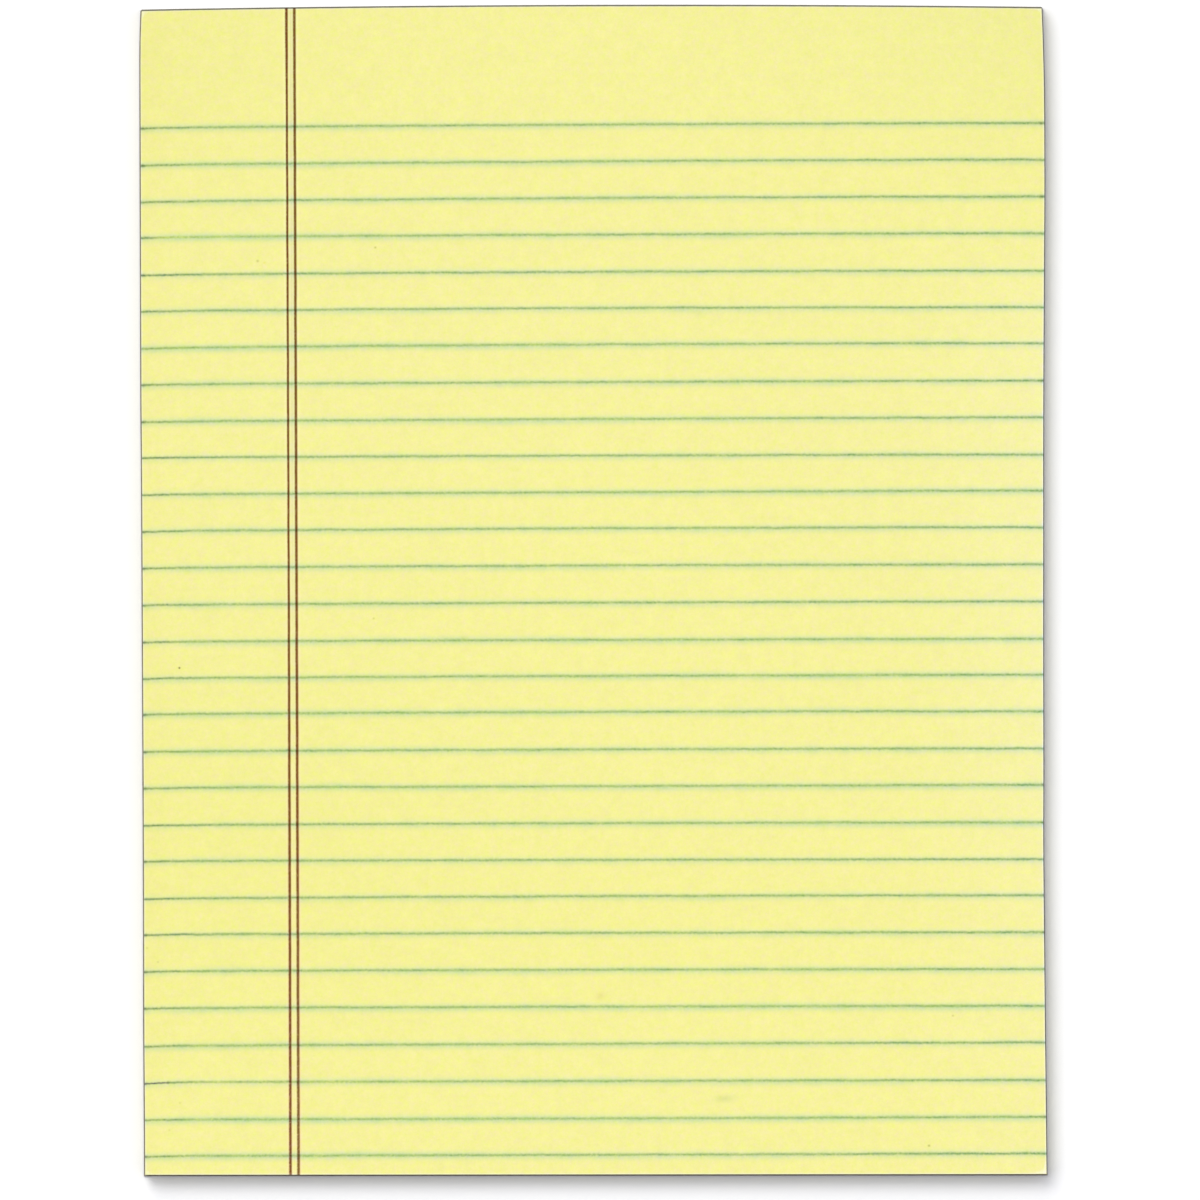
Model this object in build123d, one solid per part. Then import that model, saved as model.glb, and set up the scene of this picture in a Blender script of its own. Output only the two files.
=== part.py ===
from build123d import *
import os
from math import sqrt

# A letter-size ruled writing pad, glued along its top edge and lying on its back with the writing side up.
# Millimetres. X runs across the pad, +Y towards the glued edge, +Z up out of the writing face.
# The origin is the bottom centre of the whole pad's box.

# --- driving dimensions -------------------------------------------------------------------------
pad_width = 215.9  # 8 1/2 in: the cut width of the backing board
pad_length = 279.4  # 11 in: from the board's free edge to the crown of the glued edge
head_bow = 0.9  # the glued edge isn't straight: its middle stands this far beyond its two ends

sheet_count = 50  # leaves in the block
sheet_thickness = 0.088  # 60 g/m2 writing paper, with the little air that loose leaves hold
board_thickness = 0.6  # grey chipboard
board_margin = 0.4  # how far the board shows past the leaves at the left, right and free edges
glue_thickness = 0.3  # the dried film of glue over the ends of the leaves and the board

# --- derived dimensions -------------------------------------------------------------------------
block_thickness = sheet_count * sheet_thickness
pad_thickness = board_thickness + block_thickness

half_board = pad_width / 2
half_sheet = half_board - board_margin
free_edge_y = -pad_length / 2
sheet_free_edge_y = free_edge_y + board_margin

# The glued edge is a very flat arc. Its film is an even coat, so both of its faces share one centre.
outer_radius = (half_board**2 + head_bow**2) / (2 * head_bow)
inner_radius = outer_radius - glue_thickness
arc_centre_y = pad_length / 2 - outer_radius


def arc_y(x, radius):
    """The Y of the glued edge's arc of this radius, at x."""
    return arc_centre_y + sqrt(radius**2 - x**2)


def head_arc(half_width, radius):
    """The glued edge's arc from the left side to the right side."""
    y = arc_y(half_width, radius)
    return ThreePointArc((-half_width, y), (0, arc_centre_y + radius), (half_width, y))


def plate(half_width, low_y, z_low, z_high):
    """A flat plate with three straight sides, and the glued edge's arc as its fourth."""
    y = arc_y(half_width, inner_radius)
    outline = Wire(
        [
            head_arc(half_width, inner_radius),
            Line((half_width, y), (half_width, low_y)),
            Line((half_width, low_y), (-half_width, low_y)),
            Line((-half_width, low_y), (-half_width, y)),
        ]
    )
    return Pos(0, 0, z_low) * extrude(Face(outline), amount=z_high - z_low, dir=(0, 0, 1))


def coat(half_width, z_low, z_high):
    """The even film over the glued edge."""
    y_in, y_out = arc_y(half_width, inner_radius), arc_y(half_width, outer_radius)
    outline = Wire(
        [
            head_arc(half_width, inner_radius),
            Line((half_width, y_in), (half_width, y_out)),
            head_arc(half_width, outer_radius),
            Line((-half_width, y_out), (-half_width, y_in)),
        ]
    )
    return Pos(0, 0, z_low) * extrude(Face(outline), amount=z_high - z_low, dir=(0, 0, 1))


# The stiff chipboard that the leaves lie on. Its underside is the face that the pad rests on.
backing_board = plate(half_board, free_edge_y, 0, board_thickness)

# All the leaves together, cut square on three sides.
sheet_block = plate(half_sheet, sheet_free_edge_y, board_thickness, pad_thickness)

# The glue film, which holds the ends of the leaves to each other and to the board.
glue_binding = coat(half_sheet, 0, pad_thickness)

pieces = {
    "sheet_block": sheet_block,
    "backing_board": backing_board,
    "glue_binding": glue_binding,
}

os.makedirs("parts", exist_ok=True)
for name, shape in pieces.items():
    solid = shape.solids()[0]
    solid.label = name
    export_step(solid, f"parts/{name}.step")
    box = solid.bounding_box()
    print(name, "volume mm3", round(solid.volume, 2), "size", [round(v, 3) for v in box.size])

whole = Compound(children=[s.solids()[0] for s in pieces.values()]).bounding_box()
print("whole", [round(v, 3) for v in whole.min], [round(v, 3) for v in whole.max])
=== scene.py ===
import math
import random

import bpy
import numpy as np
from mathutils import Matrix, Vector


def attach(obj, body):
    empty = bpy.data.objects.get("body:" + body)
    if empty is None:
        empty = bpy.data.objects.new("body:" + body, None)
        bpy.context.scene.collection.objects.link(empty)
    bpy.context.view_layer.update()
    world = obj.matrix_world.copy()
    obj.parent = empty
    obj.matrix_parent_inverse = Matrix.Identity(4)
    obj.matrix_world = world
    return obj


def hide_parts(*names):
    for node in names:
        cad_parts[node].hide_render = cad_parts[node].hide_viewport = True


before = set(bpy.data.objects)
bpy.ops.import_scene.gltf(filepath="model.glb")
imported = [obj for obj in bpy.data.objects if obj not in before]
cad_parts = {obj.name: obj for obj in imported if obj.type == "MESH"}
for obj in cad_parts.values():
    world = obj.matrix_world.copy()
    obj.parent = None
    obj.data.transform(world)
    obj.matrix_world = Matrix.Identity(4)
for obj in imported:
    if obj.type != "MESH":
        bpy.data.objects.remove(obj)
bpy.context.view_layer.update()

# A letter-size ruled writing pad, glued along its top edge, lying on its back.
# Shapes are worked out in millimetres here and written to the meshes in metres.
MM = 0.001
rnd = random.Random(41)

# --- the pad's own measures (mm), as in the CAD model ----------------------------------------------
HALF_BOARD = 107.95
FREE_Y = -139.7
CROWN_Y = 139.5  # the glued edge bows a hair less than the CAD's arc
HEAD_BOW = 0.83
GLUE = 0.3
BOARD_T = 0.6
TOP_Z = 5.0
LEAF = 0.088
LEAVES = 50
MARGIN_LEFT = 0.43  # how far the board shows past the leaves
MARGIN_RIGHT = 0.33
FREE_MARGIN = 0.49

# --- light and exposure ---------------------------------------------------------------------------
GAIN = 1.1  # how bright a level matt white face comes out under this light
SKY_SHARE = 0.189
SKY_COLOUR = (0.985, 1.0, 1.19)
# large soft lamps: name, direction towards it, width in degrees, colour, share of a level face's light,
# and the level that an energy of pi gives
LAMPS = (
    ("soft_key", (-0.40, 0.90, 1.0), 40.0, (1.010, 1.0, 0.93), 0.370, 0.7189),
    ("soft_left", (-0.7, 0.3, 1.0), 50.0, (1.008, 1.0, 0.985), 0.253, 0.8028),
    ("soft_right", (0.8, 0.2, 1.0), 70.0, (0.985, 1.0, 0.97), 0.188, 0.7755),
)
FLOOR_LEVEL = (1.059, 1.059, 1.088)


def linear(v):
    v /= 255.0
    return v / 12.92 if v <= 0.04045 else ((v + 0.055) / 1.055) ** 2.4


def shown(r, g, b, gain=GAIN):
    """The colour that a level face needs to come out as this 8-bit colour."""
    return (linear(r) / gain, linear(g) / gain, linear(b) / gain)


# --- outlines -------------------------------------------------------------------------------------
def smooth_path(knots):
    """A smooth curve through a few (y, value) knots."""
    ys = np.array([k[0] for k in knots], float)
    vs = np.array([k[1] for k in knots], float)
    slopes = np.gradient(vs, ys)

    def at(y):
        y = np.clip(np.asarray(y, float), ys[0], ys[-1])
        i = np.clip(np.searchsorted(ys, y) - 1, 0, len(ys) - 2)
        h = ys[i + 1] - ys[i]
        t = (y - ys[i]) / h
        return (
            (2 * t**3 - 3 * t**2 + 1) * vs[i]
            + (t**3 - 2 * t**2 + t) * h * slopes[i]
            + (-2 * t**3 + 3 * t**2) * vs[i + 1]
            + (t**3 - t**2) * h * slopes[i + 1]
        )

    return at


# The guillotine didn't cut quite straight: how far each long side stands in from the board's full width.
left_inset = smooth_path([
    (-139.7, 0.33), (-130, 0.34), (-121, 0.31), (-104, 0.24), (-92, 0.25), (-77, 0.27), (-51, 0.26), (-33, 0.23), (-16, 0.19), (1.5, 0.165),
    (19, 0.12), (36, 0.06), (45, 0.0), (60, 0.0), (100, 0.0), (126, 0.0), (131, 0.05), (134, 0.13), (137.5, 0.28), (139.7, 0.37),
])
right_inset = smooth_path([
    (-139.7, 0.19), (-130, 0.27), (-121, 0.34), (-112, 0.41), (-104, 0.48), (-92, 0.56), (-77, 0.66), (-60, 0.75), (-45, 0.68), (-16, 0.64),
    (1, 0.59), (19, 0.53), (36, 0.48), (54, 0.37), (71, 0.22), (80, 0.15), (89, 0.05), (98, 0.0), (112, 0.0), (117, 0.01),
    (121, 0.08), (126, 0.17), (131, 0.30), (134, 0.39), (137.8, 0.54), (139.7, 0.62),
])

R_OUT = (HALF_BOARD**2 + HEAD_BOW**2) / (2 * HEAD_BOW)
R_IN = R_OUT - GLUE
ARC_Y = CROWN_Y - R_OUT


def left_x(y, inset=0.0):
    return -HALF_BOARD + np.maximum(left_inset(y), 0) + inset


def right_x(y, inset=0.0):
    return HALF_BOARD - np.maximum(right_inset(y), 0) - inset


def free_y(x, inset=0.0):
    """The free edge, which is cut a little out of square."""
    return np.maximum(-139.48 - 0.0021 * np.asarray(x, float), FREE_Y + 0.002) + inset


def head_y(x, inset=0.0):
    return ARC_Y + np.sqrt((R_IN - inset) ** 2 - np.asarray(x, float) ** 2)


def top_z(x, y):
    """The height of the writing face: pressed together at the glued edge, and a little uneven elsewhere."""
    x, y = np.asarray(x, float), np.asarray(y, float)
    head = np.clip((y - 84) / 56, 0, 1)
    wave = (
        0.020 * np.sin(2 * math.pi * (x / 187 + 0.21)) * np.cos(2 * math.pi * (y / 236 - 0.12))
        + 0.012 * np.sin(2 * math.pi * (x / 91 + y / 143 + 0.4))
        + 0.008 * np.cos(2 * math.pi * (x / 61 - y / 77))
    )
    corner = 0.02 * np.exp(-(((x - 107) / 30) ** 2 + ((y + 139) / 34) ** 2))
    return 4.945 + wave * (1 - head) + corner - 0.14 * head * head * (3 - 2 * head)


# --- the print ------------------------------------------------------------------------------------
# The rules are nearly level: 29 of them, evenly spaced but for the small errors of the ruling wheel.
RULE_Y = [110.97, 102.23, 93.48, 84.78, 75.91, 67.27, 58.62, 49.67, 40.86, 32.15, 23.43, 14.83, 5.99, -2.86, -11.72, -20.32, -28.87, -37.81, -46.55, -55.36, -64.12, -72.75, -81.51, -90.26, -99.06, -107.9, -116.76, -125.68, -134.34]
# each rule's own small tilt and bend
RULE_TILT = [0.06, 0.12, 0.11, -0.01, 0.0, -0.03, 0.09, 0.0, 0.05, -0.07, 0.04, 0.03, -0.01, 0.0, -0.04, 0.02, -0.05, -0.01, 0.0, -0.04, -0.14, 0.04, -0.09, -0.09, -0.05, 0.1, -0.04, 0.03, 0.01]
RULE_BEND = [0.03, -0.01, -0.06, 0.03, -0.03, -0.08, -0.11, 0.05, 0.05, 0.06, 0.09, -0.07, -0.01, 0.02, 0.01, 0.0, -0.09, -0.03, 0.03, -0.08, 0.02, -0.11, -0.05, -0.06, -0.02, -0.04, 0.0, 0.09, 0.04]

# The wheel ran wet on some rules and dry on others, by seeded chance: a wet rule has a softer line and more bleed.
# Each knot is (x, how much fuller the line is, how much fuller the bleed is), and 0 is the usual rule.
wheel = random.Random(29)
UNEVEN = {}
for i in range(29):
    ends = [(x, wheel.uniform(-1.0, 1.0)) for x in (-100, 100)]
    UNEVEN[i] = tuple((x, -0.2 * wet, 0.3 * wet) for x, wet in ends)
# two rules stand out: the fourth starts faint, and the 27th goes on faint after its first stroke
UNEVEN[3] = ((-105, 0, 0), (-103, -0.6, 0.4), (-80, -0.3, 0.3), (-40, 0, 0))
UNEVEN[26] = ((-102, 0, 0), (-90, -0.2, -0.3), (-20, 0, 0))


def uneven(i, x):
    knots = UNEVEN.get(i)
    if not knots:
        return 0.0, 0.0
    at = [k[0] for k in knots]
    return float(np.interp(x, at, [k[1] for k in knots])), float(np.interp(x, at, [k[2] for k in knots]))


def rule_y(i, x):
    """The y of rule i at x: it bows up a little in the middle, and droops at its two ends."""
    x = np.asarray(x, float)
    down = i / 28
    t = (x - 1.5) / 103.7
    rise = 0.20 * (1 - down) - 0.01 + RULE_TILT[i]
    bow = 0.19 * (1 - down) + 0.01 - RULE_BEND[i]
    left = (0.46 if i == 26 else 0.20) * np.exp(-(x + 107.7) / (4.5 if i == 26 else 6.5))
    right = 0.06 * np.exp(-(107.4 - x) / 3.0)
    return RULE_Y[i] + rise * t - bow * t * t - left - right


# --- meshes ---------------------------------------------------------------------------------------
def mesh_object(name, verts, faces, smooth=False):
    me = bpy.data.meshes.new(name)
    me.from_pydata([(x * MM, y * MM, z * MM) for x, y, z in verts], [], faces)
    me.update()
    ob = bpy.data.objects.new(name, me)
    bpy.context.collection.objects.link(ob)
    if smooth:
        me.polygons.foreach_set("use_smooth", [True] * len(me.polygons))
    return ob


def corner_values(ob, name, values):
    layer = ob.data.attributes.new(name, "FLOAT", "CORNER")
    layer.data.foreach_set("value", np.asarray(values, np.float32))


def point_values(ob, name, values):
    layer = ob.data.attributes.new(name, "FLOAT", "POINT")
    layer.data.foreach_set("value", np.asarray(values, np.float32))


def bake_map(ob, corners):
    layer = ob.data.uv_layers.new(name="OFBake")
    layer.data.foreach_set("uv", np.asarray(corners, np.float32).ravel())


def make_top_leaf():
    """The top leaf: a closed slab one leaf thick. Its rows of vertices follow each rule's own curve."""
    across = sorted(set(
        [round(0.5 - 0.5 * math.cos(math.pi * k / 56), 5) for k in range(57)]
        + [0.004, 0.012, 0.022, 0.034, 0.966, 0.978, 0.988, 0.996]
    ))
    offsets = (-1.6, -0.8, 0.0, 0.8, 1.6)
    rows = [("free", 28, 0.0)]
    for i in range(28, -1, -1):
        rows += [("rule", i, o) for o in offsets]
        if i:
            rows.append(("between", i, 0.0))
    rows += [("header", 0, f) for f in (0.25, 0.5, 0.75, 0.92)] + [("head", 0, 1.0)]
    n_rows, n_cols = len(rows), len(across)
    X, Y = np.zeros((n_rows, n_cols)), np.zeros((n_rows, n_cols))
    u = np.array(across)
    for r, (kind, i, o) in enumerate(rows):
        x = np.full(n_cols, 0.0)
        y = np.full(n_cols, 0.0)
        for _ in range(3):  # x depends a little on y, through the sides, and y on x, through the rule
            if kind == "free":
                y = free_y(x, FREE_MARGIN)
            elif kind == "rule":
                y = rule_y(i, x) + o
            elif kind == "between":
                y = (rule_y(i, x) + rule_y(i - 1, x)) / 2
            elif kind == "header":
                y0 = rule_y(0, x) + 1.6
                y = y0 + (head_y(x) - y0) * o
            else:
                y = head_y(x)
            a, b = left_x(y, MARGIN_LEFT), right_x(y, MARGIN_RIGHT)
            x = a + u * (b - a)
        X[r], Y[r] = x, y
    Z = top_z(X, Y)
    n = n_rows * n_cols
    verts = np.concatenate([
        np.stack([X, Y, Z], -1).reshape(-1, 3),
        np.stack([X, Y, Z - LEAF], -1).reshape(-1, 3),
    ])

    # v of each row in the bake's map, with most of its height given to the rules
    weight = {"rule": 2.3, "plain": 1.0, "header": 0.62}
    v = [0.0]
    for r in range(1, n_rows):
        step = float((Y[r] - Y[r - 1]).mean())
        if rows[r][0] == "rule" and rows[r][2] > -1.6:
            w = weight["rule"]
        elif rows[r][0] in ("header", "head"):
            w = weight["header"]
        else:
            w = weight["plain"]
        v.append(v[-1] + step * w)
    v = 0.065 + np.array(v) / v[-1] * 0.915
    # u likewise, with more of its width at the two margin lines
    mid = X[n_rows // 2]
    wide = [0.0]
    for c in range(1, n_cols):
        m = (mid[c] + mid[c - 1]) / 2
        w = 2.0 if -77 < m < -66 else 1.0
        wide.append(wide[-1] + (mid[c] - mid[c - 1]) * w)
    uu = 0.02 + np.array(wide) / wide[-1] * 0.96

    faces, dist, num, line, bleed, maps = [], [], [], [], [], []

    def rule_of(r):
        """The rule that the strip between rows r and r + 1 belongs to."""
        return rows[r + 1][1] if rows[r][0] != "rule" or rows[r][2] < 1.6 else rows[r][1]

    def add(ids, rule, uv):
        faces.append(ids)
        for k, at in zip(ids, uv):
            c = k % n
            x, y = X.flat[c], Y.flat[c]
            dist.append(y - float(rule_y(rule, x)))
            num.append(rule)
            wet = uneven(rule, x)
            line.append(wet[0])
            bleed.append(wet[1])
            maps.append(at)

    D = lambda r, c: r * n_cols + c
    for r in range(n_rows - 1):
        kind, i, o = rows[r]
        rule = i if kind != "between" else i - 1
        for c in range(n_cols - 1):
            a, b, d, e = D(r, c), D(r, c + 1), D(r + 1, c + 1), D(r + 1, c)
            add((a, b, d, e), rule, [(uu[c], v[r]), (uu[c + 1], v[r]), (uu[c + 1], v[r + 1]), (uu[c], v[r + 1])])
            lo, hi = 0.004 + (v[r] - 0.065) / 0.915 * 0.04, 0.004 + (v[r + 1] - 0.065) / 0.915 * 0.04
            add((n + a, n + e, n + d, n + b), rule, [(uu[c], lo), (uu[c], hi), (uu[c + 1], hi), (uu[c + 1], lo)])
    for r in range(n_rows - 1):
        rule = rows[r][1] if rows[r][0] != "between" else rows[r][1] - 1
        a, e = D(r, 0), D(r + 1, 0)
        add((a, e, n + e, n + a), rule, [(0.014, v[r]), (0.014, v[r + 1]), (0.004, v[r + 1]), (0.004, v[r])])
        b, d = D(r, n_cols - 1), D(r + 1, n_cols - 1)
        add((b, n + b, n + d, d), rule, [(0.986, v[r]), (0.996, v[r]), (0.996, v[r + 1]), (0.986, v[r + 1])])
    for c in range(n_cols - 1):
        a, b = D(0, c), D(0, c + 1)
        add((a, n + a, n + b, b), 28, [(uu[c], 0.06), (uu[c], 0.05), (uu[c + 1], 0.05), (uu[c + 1], 0.06)])
        e, d = D(n_rows - 1, c), D(n_rows - 1, c + 1)
        add((e, d, n + d, n + e), 0, [(uu[c], 0.985), (uu[c + 1], 0.985), (uu[c + 1], 0.996), (uu[c], 0.996)])

    ob = mesh_object("top_leaf", verts, faces)
    corner_values(ob, "rule_d", dist)
    corner_values(ob, "rule_n", num)
    corner_values(ob, "line", line)
    corner_values(ob, "bleed", bleed)
    edge = np.minimum.reduce([
        X - left_x(Y, MARGIN_LEFT), right_x(Y, MARGIN_RIGHT) - X, Y - free_y(X, FREE_MARGIN), head_y(X) - Y
    ]).ravel()
    point_values(ob, "rim", np.concatenate([edge, edge]))
    bake_map(ob, maps)
    return ob


def outline(nx, ny, left, right, free):
    """A grid of points that fills the outline, and the places in it of its edge, anticlockwise from the near left corner.
    left, right and free are how far those edges stand in from the board's."""
    grid = np.zeros((ny + 1, nx + 1, 2))
    for j in range(ny + 1):
        for i in range(nx + 1):
            s, t = i / nx, j / ny
            x = 0.0
            y = 0.0
            for _ in range(3):
                low = float(free_y(x, free))
                y = low + t * (float(head_y(x)) - low)
                a, b = float(left_x(y, left)), float(right_x(y, right))
                x = a + s * (b - a)
            grid[j, i] = x, y
    ring = [(0, i) for i in range(nx)] + [(j, nx) for j in range(ny)] + [(ny, i) for i in range(nx, 0, -1)] + [(j, 0) for j in range(ny, 0, -1)]
    return grid, ring


def inward(ring_pts):
    before, after = np.roll(ring_pts, 1, 0), np.roll(ring_pts, -1, 0)
    d0, d1 = ring_pts - before, after - ring_pts
    n0 = np.stack([-d0[:, 1], d0[:, 0]], 1) / np.linalg.norm(d0, axis=1)[:, None]
    n1 = np.stack([-d1[:, 1], d1[:, 0]], 1) / np.linalg.norm(d1, axis=1)[:, None]
    both = n0 + n1
    return both / (1 + (n0 * n1).sum(1))[:, None]  # a mitre at the corners


def slow_noise(seed, length, period):
    """A smooth random curve round a closed outline, about -1 to 1."""
    r = np.random.default_rng(seed)
    out = np.zeros(len(length))
    total = length[-1] + (length[-1] - length[-2])
    for k in range(1, 5):
        turns = max(1, round(total / period * k / 2))
        out += np.sin(2 * math.pi * (turns * length / total + r.random())) * r.uniform(0.3, 1) / k
    return out / 1.4


def make_leaf_block():
    """The other 49 leaves in one closed mesh: every leaf's cut edge stands a few hundredths of a millimetre in or out, with a groove between it and the next."""
    nx, ny = 44, 60
    grid, ring = outline(nx, ny, MARGIN_LEFT, MARGIN_RIGHT, FREE_MARGIN)
    base = np.array([grid[j, i] for j, i in ring])
    inn = inward(base)
    seg = np.linalg.norm(np.roll(base, -1, 0) - base, axis=1)
    length = np.concatenate([[0], np.cumsum(seg)[:-1]])
    m = len(ring)
    head_part = np.array([j == ny for j, i in ring])
    H = top_z(base[:, 0], base[:, 1]) - LEAF - BOARD_T
    rings, kinds, leaf_of = [], [], []
    rand = np.random.default_rng(7)
    for k in range(LEAVES - 1):
        jut = np.clip(0.012 + 0.010 * rand.random() + 0.012 * slow_noise(100 + k, length, 180), 0.002, 0.05)
        if rand.random() < 0.10:  # here and there a leaf slipped back before the cut dried flat
            jut = jut + rand.uniform(0.01, 0.03)
        gap = rand.uniform(0.10, 0.26)  # of a leaf's thickness
        for f, extra, kind in ((gap * 0.5, 0.012, 0.45), (gap * 0.5 + 0.10, 0.0, 0.0), (0.96 - gap * 0.5, 0.0, 0.0), (1.0 - gap * 0.35, 0.016, 0.5), (1.0, 0.055, 1.0)):
            if kind == 1.0 and k == LEAVES - 2:
                continue
            off = jut + extra
            off = np.where(head_part, 0.0, off)
            z = BOARD_T + H * (k + f) / (LEAVES - 1)
            rings.append(np.column_stack([base + inn * off[:, None], z]))
            kinds.append(kind)
            leaf_of.append(k)
    flat_low = np.column_stack([base, np.full(m, BOARD_T)])
    rings.insert(0, flat_low + np.column_stack([inn * 0.03, np.zeros(m)]))
    kinds.insert(0, 0.6)
    leaf_of.insert(0, 0)
    rings.append(np.column_stack([base + inn * 0.03, BOARD_T + H]))
    kinds.append(0.6)
    leaf_of.append(LEAVES - 2)
    verts = list(np.concatenate(rings))
    faces, groove, leaf, maps = [], [], [], []
    n_rings = len(rings)

    # four bands of the bake's map, one for each side, and the caps beside each other below them
    spans = [(0, nx, 0.02, 0.14), (nx, nx + ny, 0.17, 0.26), (nx + ny, 2 * nx + ny, 0.44, 0.08), (2 * nx + ny, m, 0.53, 0.26)]
    for first, last, v0, dv in spans:
        for r in range(n_rings - 1):
            for s in range(first, last):
                a, b = r * m + s, r * m + (s + 1) % m
                faces.append((a, b, b + m, a + m))
                u0, u1 = (s - first) / (last - first), (s + 1 - first) / (last - first)
                w0, w1 = v0 + dv * r / (n_rings - 1), v0 + dv * (r + 1) / (n_rings - 1)
                maps += [(0.004 + u0 * 0.992, w0), (0.004 + u1 * 0.992, w0), (0.004 + u1 * 0.992, w1), (0.004 + u0 * 0.992, w1)]
                groove += [kinds[r], kinds[r], kinds[r + 1], kinds[r + 1]]
                leaf += [leaf_of[r + 1]] * 4
    at = {rc: k for k, rc in enumerate(ring)}
    for top in (False, True):
        index = {}
        for j in range(ny + 1):
            for i in range(nx + 1):
                if (j, i) in at:
                    index[j, i] = at[j, i] + ((n_rings - 1) * m if top else 0)
                else:
                    x, y = grid[j, i]
                    index[j, i] = len(verts)
                    z = float(top_z(x, y)) - LEAF if top else BOARD_T
                    verts.append((x, y, z))
        for j in range(ny):
            for i in range(nx):
                q = [index[j, i], index[j, i + 1], index[j + 1, i + 1], index[j + 1, i]]
                corners = [(i, j), (i + 1, j), (i + 1, j + 1), (i, j + 1)]
                if not top:
                    q.reverse()
                    corners.reverse()
                faces.append(tuple(q))
                x0 = 0.51 if top else 0.01
                maps += [(x0 + p / nx * 0.48, 0.81 + s / ny * 0.18) for p, s in corners]
                groove += [0.0] * 4
                leaf += [LEAVES - 2 if top else 0] * 4
    ob = mesh_object("leaf_block", verts, faces)
    corner_values(ob, "groove", groove)
    corner_values(ob, "leaf", leaf)
    bake_map(ob, maps)
    return ob


def make_chipboard():
    """The board: a slab with softened edges and a slightly fibrous cut."""
    nx, ny = 72, 96
    grid, ring = outline(nx, ny, 0.0, 0.0, 0.0)
    base = np.array([grid[j, i] for j, i in ring])
    inn = inward(base)
    m = len(ring)
    rand = np.random.default_rng(23)
    levels = [(0.0, 0.07), (0.035, 0.018), (0.09, 0.004), (0.2, 0.0), (0.32, 0.004), (0.44, 0.0), (0.53, 0.006), (0.575, 0.022), (0.6, 0.07)]
    head_part = np.array([j == ny for j, i in ring])
    rings = []
    for k, (z, off) in enumerate(levels):
        rough = rand.random(m) * 0.014
        rough = (rough + np.roll(rough, 1)) / 2
        rough = np.where(head_part, 0.0, rough + off)
        rings.append(np.column_stack([base + inn * rough[:, None], np.full(m, z)]))
    verts = list(np.concatenate(rings))
    faces, maps = [], []
    n_rings = len(rings)
    spans = [(0, nx, 0.004, 0.02), (nx, nx + ny, 0.028, 0.02), (nx + ny, 2 * nx + ny, 0.052, 0.02), (2 * nx + ny, m, 0.076, 0.02)]
    for first, last, v0, dv in spans:
        for r in range(n_rings - 1):
            for s in range(first, last):
                a, b = r * m + s, r * m + (s + 1) % m
                faces.append((a, b, b + m, a + m))
                u0, u1 = (s - first) / (last - first), (s + 1 - first) / (last - first)
                w0, w1 = v0 + dv * r / (n_rings - 1), v0 + dv * (r + 1) / (n_rings - 1)
                maps += [(0.004 + u0 * 0.992, w0), (0.004 + u1 * 0.992, w0), (0.004 + u1 * 0.992, w1), (0.004 + u0 * 0.992, w1)]
    at = {rc: k for k, rc in enumerate(ring)}
    for top in (False, True):
        index = {}
        for j in range(ny + 1):
            for i in range(nx + 1):
                if (j, i) in at:
                    index[j, i] = at[j, i] + ((n_rings - 1) * m if top else 0)
                else:
                    x, y = grid[j, i]
                    index[j, i] = len(verts)
                    verts.append((x, y, BOARD_T if top else 0.0))
        for j in range(ny):
            for i in range(nx):
                q = [index[j, i], index[j, i + 1], index[j + 1, i + 1], index[j + 1, i]]
                corners = [(i, j), (i + 1, j), (i + 1, j + 1), (i, j + 1)]
                if not top:
                    q.reverse()
                    corners.reverse()
                faces.append(tuple(q))
                if top:  # the face under the leaves gets a narrow strip, and the underside nearly all the rest
                    maps += [(0.004 + p / nx * 0.12, 0.105 + s / ny * 0.89) for p, s in corners]
                else:
                    maps += [(0.13 + p / nx * 0.866, 0.105 + s / ny * 0.89) for p, s in corners]
    ob = mesh_object("chipboard_back", verts, faces)
    bake_map(ob, maps)
    return ob


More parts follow.
